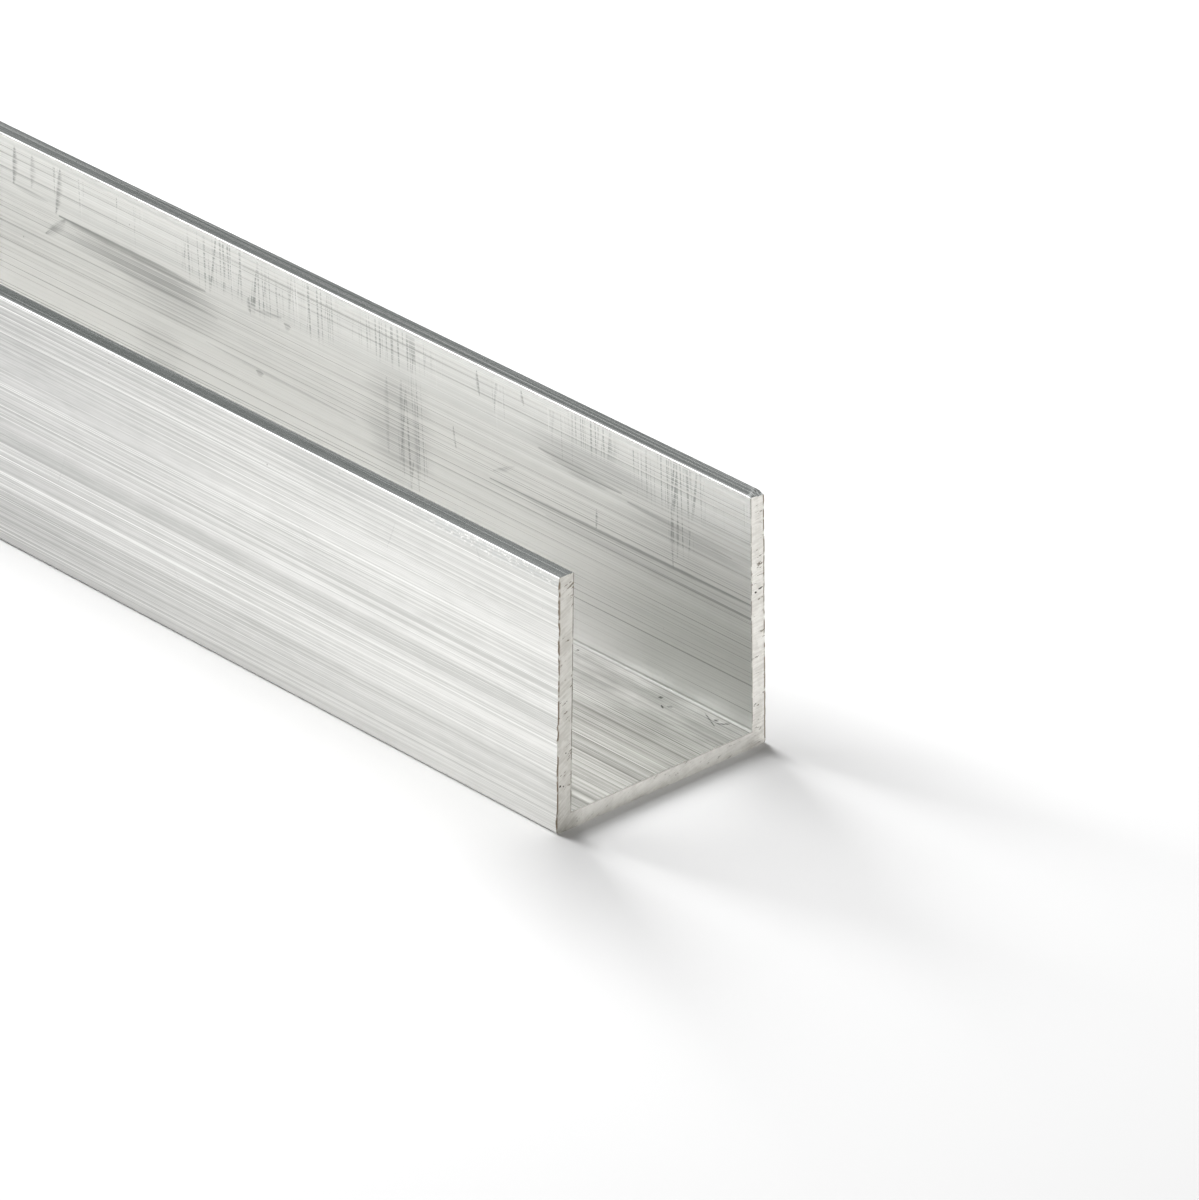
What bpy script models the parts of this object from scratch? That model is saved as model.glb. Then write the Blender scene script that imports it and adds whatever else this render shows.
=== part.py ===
"""A metre of plain aluminium channel, 30 x 30 x 2 mm, as it comes off the saw.

X runs along the bar, Y across it and Z up. The bar lies on its web, with the legs upright. The
origin is on the underside of the web, halfway along. All lengths are in metres.
"""

from math import cos, radians, sin, tan

import bmesh
import bpy
from mathutils import Matrix, Vector

# The bar
bar_length = 1.000

# The section
section_width = 0.030  # over the outer corners, at the web
section_height = 0.030  # from the underside of the web to the lips
web_thickness = 0.002
leg_thickness = 0.002
leg_lean = radians(1.0)  # both legs lean in from upright by this much, as they left the press

# The edges of the section, each a true arc
outer_corner_radius = 0.0004
inner_corner_radius = 0.0003
lip_edge_radius = 0.0003
arc_steps = 6

# The corner knocked off the right leg, where its lip meets the sawn end
chip_inner_setback = 0.0003  # along the lip's inner edge, back from the sawn end
chip_outer_setback = 0.0011  # along the lip's outer edge, back from the sawn end
chip_depth = 0.0004  # down the sawn end, at the outer edge

# The metal
bare_aluminium = (0.80, 0.80, 0.79, 1.0)
rubbed_roughness = 0.35

# Meshes hold 32-bit numbers, so points closer together than this are one point
same_point = 1e-6


def outer_leg_face(up):
    """How far the outside of a leg is from the middle of the bar, at this height."""
    return section_width / 2 - up * tan(leg_lean)


def inner_leg_face(up):
    """How far the inside of a leg is from the middle of the bar, at this height."""
    return outer_leg_face(up) - leg_thickness / cos(leg_lean)


def section_corners():
    """The eight sharp corners of the section, anticlockwise, each as (corner, radius)."""
    right_half = [
        (Vector((outer_leg_face(0), 0)), outer_corner_radius),
        (Vector((outer_leg_face(section_height), section_height)), lip_edge_radius),
        (Vector((inner_leg_face(section_height), section_height)), lip_edge_radius),
        (Vector((inner_leg_face(web_thickness), web_thickness)), inner_corner_radius),
    ]
    left_half = [(Vector((-corner.x, corner.y)), radius) for corner, radius in reversed(right_half)]
    return right_half + left_half


def rounded(corners):
    """The outline through these corners, with each one turned into an arc of its own radius."""
    outline = []
    for index, (corner, radius) in enumerate(corners):
        to_last = (corners[index - 1][0] - corner).normalized()
        to_next = (corners[(index + 1) % len(corners)][0] - corner).normalized()
        half_angle = to_last.angle(to_next) / 2
        centre = corner + (to_last + to_next).normalized() * radius / sin(half_angle)
        first = (corner + to_last * radius / tan(half_angle) - centre).normalized()
        last = (corner + to_next * radius / tan(half_angle) - centre).normalized()
        for step in range(arc_steps + 1):
            outline.append(centre + radius * first.slerp(last, step / arc_steps))
    return outline


def extruded_bar(outline):
    """A mesh of the section pushed out to the bar's length, with X along the bar."""
    curve = bpy.data.curves.new("section", "CURVE")
    curve.dimensions = "2D"
    curve.fill_mode = "BOTH"
    curve.extrude = bar_length / 2
    spline = curve.splines.new("POLY")
    spline.points.add(len(outline) - 1)
    for point, (across, up) in zip(spline.points, outline):
        point.co = (across, up, 0, 1)
    spline.use_cyclic_u = True

    section = bpy.data.objects.new("section", curve)
    bpy.context.scene.collection.objects.link(section)
    evaluated = section.evaluated_get(bpy.context.evaluated_depsgraph_get())
    mesh = bpy.data.meshes.new_from_object(evaluated)
    bpy.data.objects.remove(section)
    bpy.data.curves.remove(curve)

    section_to_bar = Matrix(((0, 0, 1), (1, 0, 0), (0, 1, 0))).to_4x4()
    mesh.transform(section_to_bar)
    return mesh


def chip_corner(body):
    """Cuts the chipped corner off the right leg with a plane, and closes the cut."""
    end = bar_length / 2
    inner = Vector((end - chip_inner_setback, inner_leg_face(section_height), section_height))
    outer = Vector((end - chip_outer_setback, outer_leg_face(section_height), section_height))
    lowest = Vector((end, outer_leg_face(section_height), section_height - chip_depth))
    up_from_cut = (inner - outer).cross(lowest - outer).normalized()
    everything = body.verts[:] + body.edges[:] + body.faces[:]
    cut = bmesh.ops.bisect_plane(
        body, geom=everything, dist=same_point, plane_co=outer, plane_no=up_from_cut, clear_outer=True
    )
    rim = [item for item in cut["geom_cut"] if isinstance(item, bmesh.types.BMEdge)]
    bmesh.ops.edgenet_fill(body, edges=rim)


def aluminium():
    material = bpy.data.materials.new("mill_finish_aluminium")
    material.use_nodes = True
    shader = material.node_tree.nodes["Principled BSDF"]
    shader.inputs["Base Color"].default_value = bare_aluminium
    shader.inputs["Metallic"].default_value = 1.0
    shader.inputs["Roughness"].default_value = rubbed_roughness
    return material


for leftover in list(bpy.data.objects):
    bpy.data.objects.remove(leftover)

channel_mesh = extruded_bar(rounded(section_corners()))
channel_mesh.name = "channel"

body = bmesh.new()
body.from_mesh(channel_mesh)
bmesh.ops.remove_doubles(body, verts=body.verts, dist=same_point)
chip_corner(body)
bmesh.ops.recalc_face_normals(body, faces=body.faces)
body.to_mesh(channel_mesh)
body.free()

channel_mesh.shade_smooth()
channel_mesh.set_sharp_from_angle(angle=radians(20))
channel_mesh.materials.append(aluminium())

channel = bpy.data.objects.new("channel", channel_mesh)
metal_channel_section = bpy.data.collections.new("metal_channel_section")
bpy.context.scene.collection.children.link(metal_channel_section)
metal_channel_section.objects.link(channel)
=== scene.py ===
from math import cos, pi, radians, sin, tan

import bpy
import numpy as np
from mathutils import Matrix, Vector
from mathutils.geometry import delaunay_2d_cdt


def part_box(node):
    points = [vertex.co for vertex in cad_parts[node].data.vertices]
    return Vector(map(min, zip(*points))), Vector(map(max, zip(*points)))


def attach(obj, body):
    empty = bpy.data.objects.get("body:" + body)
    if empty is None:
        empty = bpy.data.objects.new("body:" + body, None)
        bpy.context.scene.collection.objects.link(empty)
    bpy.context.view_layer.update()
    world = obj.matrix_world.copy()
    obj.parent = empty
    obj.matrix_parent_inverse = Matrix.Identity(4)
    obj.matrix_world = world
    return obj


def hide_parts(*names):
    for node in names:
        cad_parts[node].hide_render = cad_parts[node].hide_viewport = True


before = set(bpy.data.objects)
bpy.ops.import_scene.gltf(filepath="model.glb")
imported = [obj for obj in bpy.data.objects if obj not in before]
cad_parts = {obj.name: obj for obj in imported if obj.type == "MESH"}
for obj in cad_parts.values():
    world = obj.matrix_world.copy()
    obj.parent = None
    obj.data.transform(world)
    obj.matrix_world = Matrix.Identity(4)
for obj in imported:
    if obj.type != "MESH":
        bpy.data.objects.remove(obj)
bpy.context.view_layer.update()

# The section of the channel
# A plain U with walls 2 mm thick, pushed through a die in one piece. Both legs lean in by a degree,
# and each edge has the small radius of the die. Y is across the bar and Z is up.

mm = 0.001
_, high_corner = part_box("channel")
bar_end = high_corner.x
section_height = high_corner.z
section_half_width = 15 * mm
wall = 2 * mm
leg_lean = radians(1.0)
outer_corner_radius = 0.4 * mm
inner_corner_radius = 0.3 * mm
lip_edge_radius = 0.15 * mm
arc_steps = 6
flat_step = 0.16 * mm

# The surfaces of the bar, each with a material of its own. All are the same bare aluminium: the
# inside of the trough is painted lighter and the outside darker, as painted light and shade.
OUTSIDE, LIP, LEG_INSIDE, WEB_INSIDE, SAWN = range(5)


def outer_leg_face(up):
    """How far the outside of a leg is from the middle of the bar, at this height."""
    return section_half_width - up * tan(leg_lean)


def inner_leg_face(up):
    """How far the inside of a leg is from the middle of the bar, at this height."""
    return outer_leg_face(up) - wall / cos(leg_lean)


def section_corners():
    """The sharp corners, anticlockwise: (corner, radius, surface of its arc, surface after it)."""
    right = [
        (Vector((outer_leg_face(0), 0)), outer_corner_radius, OUTSIDE, OUTSIDE),
        (Vector((outer_leg_face(section_height), section_height)), lip_edge_radius, LIP, LIP),
        (Vector((inner_leg_face(section_height), section_height)), lip_edge_radius, LIP, LEG_INSIDE),
        (Vector((inner_leg_face(wall), wall)), inner_corner_radius, LEG_INSIDE, WEB_INSIDE),
    ]
    left = []
    for (corner, radius, arc, _), after in zip(reversed(right), (LEG_INSIDE, LIP, OUTSIDE, OUTSIDE)):
        left.append((Vector((-corner.x, corner.y)), radius, arc, after))
    return right + left


def section_outline():
    """The points round the section, and the surface that each edge after a point belongs to."""
    corners = section_corners()
    arcs = []
    for index, (corner, radius, _, _) in enumerate(corners):
        to_last = (corners[index - 1][0] - corner).normalized()
        to_next = (corners[(index + 1) % len(corners)][0] - corner).normalized()
        half_angle = to_last.angle(to_next) / 2
        centre = corner + (to_last + to_next).normalized() * radius / sin(half_angle)
        first = (corner + to_last * radius / tan(half_angle) - centre).normalized()
        last = (corner + to_next * radius / tan(half_angle) - centre).normalized()
        steps = range(arc_steps + 1)
        arcs.append([centre + radius * first.slerp(last, step / arc_steps) for step in steps])
    points, surfaces = [], []
    for index, (_, _, arc_surface, flat_surface) in enumerate(corners):
        points += arcs[index][:-1]
        surfaces += [arc_surface] * arc_steps
        flat_from, flat_to = arcs[index][-1], arcs[(index + 1) % len(arcs)][0]
        pieces = max(1, round((flat_to - flat_from).length / flat_step))
        points += [flat_from.lerp(flat_to, piece / pieces) for piece in range(pieces)]
        surfaces += [flat_surface] * pieces
    return np.array([tuple(point) for point in points]), np.array(surfaces)


# The two sawn ends
# Each end is as the saw left it: shallow arcs from the teeth, an arris that has broken away in small
# chips, and a fine ragged burr that stands up round the trough. Nothing has been filed or deburred.

NEAR, FAR = 1, -1

# The saw's arcs, and the arris that chipped away
saw_centre = {NEAR: (18 * mm, -43 * mm), FAR: (-30 * mm, 62 * mm)}
saw_mark_pitch = 0.55 * mm
fine_saw_mark_pitch = saw_mark_pitch / 3.1
saw_mark_depth = 0.02 * mm
saw_mark_reach = 0.5 * mm
saw_wander = 0.25 * mm
saw_wander_length = 9 * mm
arris_chip_depth = {NEAR: 0.18 * mm, FAR: 0.14 * mm}
arris_chip_reach = 0.22 * mm
arris_chip_pitch = 0.5 * mm
arris_chip_cluster = 3 * mm
right_arris_share = 0.25

# The burr round the trough
burr_pitch = 0.42 * mm
burr_height = 0.16 * mm
burr_root = 0.28 * mm
burr_cluster = 2.5 * mm
leg_burr_pitch = burr_pitch * 1.3
leg_burr_height = 0.5 * burr_height
leg_burr_cluster = 4 * mm

# The corner knocked off the right leg's lip
lip_chip_inner_setback = 0.3 * mm
lip_chip_outer_setback = 1.1 * mm
lip_chip_depth = 0.4 * mm
lip_chip_reach = 2 * mm
lip_chip_roughness = 0.03 * mm
lip_chip_waves_along = 9000
lip_chip_waves_across = 7000

# The rings of points round the bar, by their distance from the nearer end, and the points that
# fill each sawn end
ring_distances_in_mm = [0, 0.08, 0.16, 0.25, 0.35, 0.5, 0.8, 1.2, 2, 4, 10, 40, 120, 300]
end_face_step = 0.2 * mm
end_face_gap = 0.6 * end_face_step
end_face_jitter = 0.2
same_point_in_mm = 1e-5
crease_angle = radians(32)
draws = 4096


def uneven(position, pitch, seed):
    """Smooth random height from 0 to 1 along a line, with a bump about every pitch."""
    heights = np.random.default_rng(seed).random(draws)
    place = np.asarray(position) / pitch + draws / 2
    base = np.floor(place).astype(int)
    part = place - base
    part = part * part * (3 - 2 * part)
    return heights[base % draws] * (1 - part) + heights[(base + 1) % draws] * part


def jagged(position, pitch, seed):
    """Random height from 0 to 1 along a line, in sharp uneven teeth about a pitch apart."""
    heights = np.random.default_rng(seed).random(draws)
    place = np.asarray(position) / pitch + draws / 2
    place = place + 0.35 * np.sin(place * 1.7)
    base = np.floor(place).astype(int)
    part = place - base
    peak = 0.25 + 0.5 * heights[(base + 7) % draws]
    tooth = np.where(part < peak, part / peak, (1 - part) / (1 - peak))
    return tooth * heights[base % draws] ** 1.4


def saw_recess(points, side):
    """How far the saw and its chips took each point of an end below the plane of the cut."""
    y, z = points[:, 0], points[:, 1]
    centre_y, centre_z = saw_centre[side]
    radius = np.hypot(y - centre_y, z - centre_z)
    sweep = np.arctan2(z - centre_z, y - centre_y) * radius
    seed = 20 + side
    wandering = radius + saw_wander * uneven(sweep, saw_wander_length, seed)
    marks = uneven(wandering, saw_mark_pitch, seed + 1)
    fine = uneven(radius, fine_saw_mark_pitch, seed + 2)
    recess = saw_mark_depth * (0.7 * marks + 0.3 * fine)
    from_leg_face, from_underside = outer_leg_face(z) - np.abs(y), z
    # Each leg and the underside read the chips from a stretch of their own
    along_leg, along_underside = z + 40 * mm * np.sign(y), y + 90 * mm
    along_arris = np.where(from_leg_face < from_underside, along_leg, along_underside)
    chips = uneven(along_arris, arris_chip_pitch, seed + 3)
    chips = chips * uneven(along_arris, arris_chip_cluster, seed + 4)
    chips = 0.1 + 1.8 * chips * np.where(y < 0, 1.0, right_arris_share)
    nearest = np.minimum(from_leg_face, from_underside)
    recess += arris_chip_depth[side] * chips * np.exp(-np.maximum(nearest, 0) / arris_chip_reach)
    return recess


def burr_shift(points, surfaces, distance, side):
    """How far the burr pushes the points round the trough up from the web or in from the legs."""
    y, z = points[:, 0], points[:, 1]
    root = np.clip(1 - distance / burr_root, 0, 1) ** 2
    on_trough = (surfaces == LEG_INSIDE) | (surfaces == WEB_INSIDE)
    on_web = on_trough & (z < wall + 0.02 * mm)
    on_leg = on_trough & (z > wall + inner_corner_radius)
    seed = 60 + side
    standing = jagged(y, burr_pitch, seed) * (0.35 + 0.65 * uneven(y, burr_cluster, seed + 1))
    # Each leg reads its teeth from a stretch of its own
    leaning = jagged(z + 50 * mm * np.sign(y), leg_burr_pitch, seed + 2)
    leaning = leaning * uneven(z, leg_burr_cluster, seed + 3)
    shift = np.zeros_like(points)
    shift[:, 1] = np.where(on_web, burr_height * standing * root, 0)
    shift[:, 0] = np.where(on_leg, -np.sign(y) * leg_burr_height * leaning * root, 0)
    return shift


def knock_off_lip_corner(points):
    """The corner of the right leg that has been knocked off, where its lip meets the near end."""
    top = section_height
    inner = Vector((bar_end - lip_chip_inner_setback, inner_leg_face(top), top))
    outer = Vector((bar_end - lip_chip_outer_setback, outer_leg_face(top), top))
    lowest = Vector((bar_end, outer_leg_face(top), top - lip_chip_depth))
    outward = np.array((inner - outer).cross(lowest - outer).normalized())
    above = (points - np.array(outer)) @ outward
    near = points[:, 0] > bar_end - lip_chip_reach
    rough = lip_chip_roughness * np.sin(points[:, 0] * lip_chip_waves_along)
    rough = rough * np.sin(points[:, 1] * lip_chip_waves_across)
    cut = np.where(near & (above > 0), above + np.abs(rough), 0)
    return points - cut[:, None] * outward


def points_in_wall(outline):
    """Points spread unevenly over the sawn face of the section, clear of its outline."""
    lowest, highest = outline.min(0), outline.max(0)
    columns = np.arange(lowest[0], highest[0], end_face_step)
    rows = np.arange(lowest[1], highest[1], end_face_step)
    grid = []
    for row, height in enumerate(rows):
        grid += [(column + (row % 2) * end_face_step / 2, height) for column in columns]
    grid = np.array(grid)
    jitter = np.random.default_rng(5).uniform(-end_face_jitter, end_face_jitter, grid.shape)
    grid += jitter * end_face_step
    out, up = np.abs(grid[:, 0]), grid[:, 1]
    in_wall = (out < outer_leg_face(up) - end_face_gap) & (up > end_face_gap)
    in_wall &= up < section_height - end_face_gap
    in_wall &= (out > inner_leg_face(up) + end_face_gap) | (up < wall - end_face_gap)
    return grid[in_wall]


def channel_bar_mesh(outline, surfaces):
    """The whole bar as one closed skin, with the finer detail close to its two ends."""
    count = len(outline)
    distances = [distance * mm for distance in ring_distances_in_mm]
    stations = [(NEAR, distance) for distance in distances]
    stations += [(FAR, distance) for distance in reversed(distances)]
    rings = []
    for side, distance in stations:
        shift = burr_shift(outline, surfaces, distance, side)
        fade = max(0.0, 1 - distance / saw_mark_reach)
        recess = saw_recess(outline, side) * fade
        x = side * (bar_end - distance - recess)
        rings.append(np.column_stack([x, outline + shift]))
    vertices = [np.concatenate(rings)]
    faces, face_surfaces = [], []
    for ring in range(len(stations) - 1):
        here, beyond = ring * count, (ring + 1) * count
        for point in range(count):
            after = (point + 1) % count
            faces.append((here + point, here + after, beyond + after, beyond + point))
            face_surfaces.append(surfaces[point])
    grid = points_in_wall(outline)
    flat_points = [Vector(point / mm) for point in np.concatenate([outline, grid])]
    ring_edges = [(point, (point + 1) % count) for point in range(count)]
    found = delaunay_2d_cdt(flat_points, ring_edges, [list(range(count))], 1, same_point_in_mm)
    triangles, origins = found[2], found[3]
    ring_start = {NEAR: 0, FAR: (len(stations) - 1) * count}
    grid_start = {NEAR: len(vertices[0]), FAR: len(vertices[0]) + len(grid)}
    for side in (NEAR, FAR):
        x = side * (bar_end - saw_recess(grid, side))
        vertices.append(np.column_stack([x, grid]))
        for triangle in triangles:
            face = []
            for corner in [origins[vertex][0] for vertex in triangle]:
                on_ring = corner < count
                face.append(corner + ring_start[side] if on_ring else corner - count + grid_start[side])
            faces.append(face if side == NEAR else face[::-1])
            face_surfaces.append(SAWN)
    whole = np.concatenate(vertices)
    points = knock_off_lip_corner(whole)
    knocked = np.linalg.norm(points - whole, axis=1) > 0
    for index, face in enumerate(faces):
        if knocked[list(face)].all():
            face_surfaces[index] = LIP
    mesh = bpy.data.meshes.new("channel_bar")
    mesh.from_pydata(points.tolist(), [], faces)
    mesh.polygons.foreach_set("material_index", np.array(face_surfaces, dtype=np.int32))
    return mesh


# Where the skin lies on its flat map: the four sides of the bar in one strip, the two ends beside it
strip_left, strip_width = 0.002, 0.86
strip_foot, strip_height = 0.01, 0.98
end_left, end_width = 0.868, 0.125
end_foot = {NEAR: 0.02, FAR: 0.5}


def unroll(mesh, outline):
    """Lays the skin out flat: its length across the map and its outline up it, with the ends beside."""
    steps = np.linalg.norm(np.roll(outline, -1, 0) - outline, axis=1)
    along = np.concatenate([[0], np.cumsum(steps)])
    perimeter = along[-1]
    end_scale = end_width / (2 * section_half_width)
    layer = mesh.uv_layers.new(name="OFBake")
    places = np.array([vertex.co for vertex in mesh.vertices])
    flat = np.zeros((len(mesh.loops), 2))
    for polygon in mesh.polygons:
        loops = list(polygon.loop_indices)
        corners = [mesh.loops[loop].vertex_index for loop in loops]
        on_end = len(corners) == 3
        if on_end:
            foot = end_foot[NEAR if places[corners[0], 0] > 0 else FAR]
            for loop, corner in zip(loops, corners):
                _, y, z = places[corner]
                flat[loop] = (end_left + (y + section_half_width) * end_scale, foot + z * end_scale)
            continue
        slots = [corner % len(outline) for corner in corners]
        wraps = max(slots) - min(slots) > 1
        for loop, corner, slot in zip(loops, corners, slots):
            around = perimeter if wraps and slot == 0 else along[slot]
            flat[loop] = (
                strip_left + (places[corner, 0] + bar_end) / (2 * bar_end) * strip_width,
                strip_foot + around / perimeter * strip_height,
            )
    layer.data.foreach_set("uv", flat.ravel())


outline, outline_surfaces = section_outline()
bar_mesh = channel_bar_mesh(outline, outline_surfaces)
unroll(bar_mesh, outline)
bar_mesh.validate()
bar_mesh.shade_smooth()
bar_mesh.set_sharp_from_angle(angle=crease_angle)
channel_bar = bpy.data.objects.new("channel_bar", bar_mesh)
bpy.context.scene.collection.objects.link(channel_bar)
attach(channel_bar, "root")
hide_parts("channel")

# The mill finish
# Bare aluminium straight from the press. The die draws fine bright and dull lines along the whole
# bar, in bands, and handling has left rub strokes across it, long smears, specks and grey clouds.


def node_group(name, inputs, outputs):
    """An empty shader group. Inputs are (name, type, value) and outputs (name, type)."""
    group = bpy.data.node_groups.new(name, "ShaderNodeTree")
    for label, kind, value in inputs:
        socket = group.interface.new_socket(label, in_out="INPUT", socket_type="NodeSocket" + kind)
        if value is not None:
            socket.default_value = value
    for label, kind in outputs:
        group.interface.new_socket(label, in_out="OUTPUT", socket_type="NodeSocket" + kind)
    group.nodes.new("NodeGroupInput")
    group.nodes.new("NodeGroupOutput")
    return group


class Sheet:
    """Places and joins the nodes of one material or group."""

    def __init__(self, tree):
        self.tree = tree
        self.given = next((n for n in tree.nodes if n.bl_idname == "NodeGroupInput"), None)
        self.result = next((n for n in tree.nodes if n.bl_idname == "NodeGroupOutput"), None)

    def join(self, value, socket):
        """Links a socket to another node's output, or sets its value."""
        if isinstance(value, bpy.types.NodeSocket):
            self.tree.links.new(value, socket)
        elif value is not None:
            socket.default_value = value

    def add(self, kind, settings=None, **inputs):
        """Adds a node, with its settings and its inputs by name."""
        node = self.tree.nodes.new(kind)
        for name, value in (settings or {}).items():
            setattr(node, name, value)
        for name, value in inputs.items():
            self.join(value, node.inputs[name.replace("_", " ")])
        return node

    def math(self, operation, first, second=None, third=None, clamp=False):
        """One step of arithmetic on values."""
        node = self.tree.nodes.new("ShaderNodeMath")
        node.operation = operation
        node.use_clamp = clamp
        for socket, value in zip(node.inputs, (first, second, third)):
            self.join(value, socket)
        return node.outputs[0]

    def vector(self, operation, first, second=None):
        """One step of arithmetic on places."""
        node = self.tree.nodes.new("ShaderNodeVectorMath")
        node.operation = operation
        self.join(first, node.inputs[0])
        self.join(second, node.inputs[1])
        return node.outputs["Value" if operation in ("LENGTH", "DISTANCE", "DOT_PRODUCT") else "Vector"]

    def noise(self, place, detail=2.0, roughness=0.5):
        """Soft noise with a bump about every unit of place, from 0 to 1."""
        node = self.add("ShaderNodeTexNoise", Vector=place, Detail=detail, Roughness=roughness)
        node.inputs["Scale"].default_value = 1.0
        node.inputs["Distortion"].default_value = 0.0
        return node.outputs["Fac"]

    def cells(self, place):
        """Flat cells about one unit of place wide."""
        return self.add("ShaderNodeTexVoronoi", {"feature": "F1"}, Vector=place, Scale=1.0).outputs

    def ramp(self, value, low, high, to_low=0.0, to_high=1.0, smooth=True):
        """Turns low to high into to_low to to_high, and holds it there beyond."""
        node = self.tree.nodes.new("ShaderNodeMapRange")
        node.interpolation_type = "SMOOTHSTEP" if smooth else "LINEAR"
        ends = {"From Min": low, "From Max": high, "To Min": to_low, "To Max": to_high}
        self.join(value, node.inputs["Value"])
        for name, end in ends.items():
            self.join(end, node.inputs[name])
        return node.outputs["Result"]

    def blend(self, share, first, second, kind="MIX"):
        """Lays the second colour over the first."""
        node = self.tree.nodes.new("ShaderNodeMix")
        node.data_type = "RGBA"
        node.blend_type = kind
        colours = {socket.name: socket for socket in node.inputs if socket.type == "RGBA"}
        self.join(share, node.inputs["Factor"])
        self.join(first, colours["A"])
        self.join(second, colours["B"])
        return next(socket for socket in node.outputs if socket.type == "RGBA")

    def place(self, group, **inputs):
        """Puts in one of the shader groups."""
        node = self.tree.nodes.new("ShaderNodeGroup")
        node.node_tree = group
        for name, value in inputs.items():
            self.join(value, node.inputs[name.replace("_", " ")])
        return node.outputs

    def seen(self):
        """1 where the camera or a shiny or clear surface looks, and 0 for plain light."""
        rays = self.add("ShaderNodeLightPath").outputs
        looked_at = self.math("MAXIMUM", rays["Is Camera Ray"], rays["Is Glossy Ray"])
        return self.math("MAXIMUM", looked_at, rays["Is Transmission Ray"])


def die_lines_group():
    """Lines along the bar. Tones is the flat grey of each band, and the others are 0 to 1 masks."""
    group = node_group(
        "die_lines",
        [("Place", "Vector", None)],
        [("Tones", "Float"), ("Fine", "Float"), ("Bright", "Float"), ("Dark", "Float")],
    )
    s = Sheet(group)
    parts = s.add("ShaderNodeSeparateXYZ", Vector=s.given.outputs["Place"])

    def drawn(pitch, length, shift):
        """A place that changes quickly across the bar and slowly along it."""
        across = s.add(
            "ShaderNodeCombineXYZ",
            X=s.math("MULTIPLY_ADD", parts.outputs["X"], 1 / length, shift),
            Y=s.math("MULTIPLY", parts.outputs["Y"], 1 / pitch),
            Z=s.math("MULTIPLY", parts.outputs["Z"], 1 / pitch),
        )
        return across.outputs["Vector"]

    def flat_bands(pitch, length, shift):
        """Bands with crisp sides, each of one even tone."""
        colour = s.cells(drawn(pitch, length, shift))["Color"]
        return s.add("ShaderNodeSeparateColor", Color=colour).outputs["Red"]

    broad = flat_bands(2.4 * mm, 0.55, 3.3)
    narrow = flat_bands(0.8 * mm, 0.30, 8.1)
    slim = flat_bands(0.36 * mm, 0.10, 15.7)
    hair = flat_bands(0.17 * mm, 0.09, 27.4)
    tones = s.math("MULTIPLY_ADD", broad, 0.29, s.math("MULTIPLY", narrow, 0.05))
    tones = s.math("MULTIPLY_ADD", slim, 0.07, tones)
    tones = s.math("MULTIPLY_ADD", hair, 0.36, tones)
    fine = s.noise(drawn(0.19 * mm, 0.14, 21.9), detail=1.0, roughness=0.8)
    bright = s.noise(drawn(0.18 * mm, 0.16, 33.3), detail=1.0, roughness=0.7)
    dark = s.noise(drawn(0.18 * mm, 0.12, 47.1), detail=1.0, roughness=0.7)
    s.join(tones, s.result.inputs["Tones"])
    s.join(s.ramp(fine, 0.30, 0.70, smooth=False), s.result.inputs["Fine"])
    s.join(s.ramp(bright, 0.60, 0.66), s.result.inputs["Bright"])
    s.join(s.ramp(dark, 0.60, 0.66), s.result.inputs["Dark"])
    return group


def rub_strokes_group():
    """Straight scratches across the bar.

    Strokes are dark and Light bright, in loose clusters that hang from Top. Hatch is all over."""
    group = node_group(
        "rub_strokes",
        [
            ("Place", "Vector", None),
            ("Amount", "Float", 0.5),
            ("Ridges", "Float", 0.5),
            ("Top", "Float", 0.03),
            ("Hang", "Float", 0.006),
        ],
        [("Strokes", "Float"), ("Hatch", "Float"), ("Light", "Float")],
    )
    s = Sheet(group)
    given = s.given.outputs
    parts = s.add("ShaderNodeSeparateXYZ", Vector=given["Place"])
    along, up = parts.outputs["X"], parts.outputs["Z"]

    def strokes(slope, pitch, length, shift, least):
        """Straight strokes a pitch apart. The higher least is, the fewer there are."""
        lean = s.math("MULTIPLY_ADD", up, slope, along)
        place = s.add(
            "ShaderNodeCombineXYZ",
            X=s.math("MULTIPLY_ADD", lean, 1 / pitch, shift),
            Z=s.math("MULTIPLY", up, 1 / length),
        ).outputs["Vector"]
        return s.ramp(s.noise(place, detail=1.0), least, least + 0.06)

    def along_only(pitch, shift):
        """A place that changes along the bar alone."""
        scaled = s.math("MULTIPLY", along, 1 / pitch)
        return s.add("ShaderNodeCombineXYZ", X=scaled, Y=shift).outputs["Vector"]

    amount = s.math("MULTIPLY", given["Amount"], 0.4)
    crowding = s.noise(along_only(6 * mm, 0.0), detail=3.0, roughness=0.7)
    clusters = s.ramp(s.math("ADD", crowding, amount), 0.70, 0.80)
    lengths = s.ramp(s.noise(along_only(0.7 * mm, 9.0)), 0.3, 0.7, 0.1, 1.5)
    hang = s.math("MULTIPLY", given["Hang"], lengths)
    below_top = s.math("SUBTRACT", given["Top"], up)
    above_tip = s.ramp(s.math("DIVIDE", below_top, hang), 1.0, 0.8)
    inside = s.math("MULTIPLY", above_tip, s.ramp(below_top, 0.0, 0.7 * mm))
    clustered = s.math("MULTIPLY", clusters, inside)
    thin = strokes(0.03, 0.34 * mm, 22 * mm, 0.0, 0.54)
    light = strokes(0.05, 0.30 * mm, 22 * mm, 57.0, 0.54)
    heavy = strokes(-0.12, 0.70 * mm, 16 * mm, 31.0, 0.61)
    both = s.math("MAXIMUM", s.math("MULTIPLY", thin, 0.8), heavy)
    ridges = s.ramp(given["Ridges"], 0.35, 0.6, 0.2, 1.0)
    hatch = s.math("MULTIPLY", both, ridges)
    s.join(s.math("MULTIPLY", hatch, clustered), s.result.inputs["Strokes"])
    s.join(hatch, s.result.inputs["Hatch"])
    s.join(s.math("MULTIPLY", light, clustered), s.result.inputs["Light"])
    return group


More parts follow.
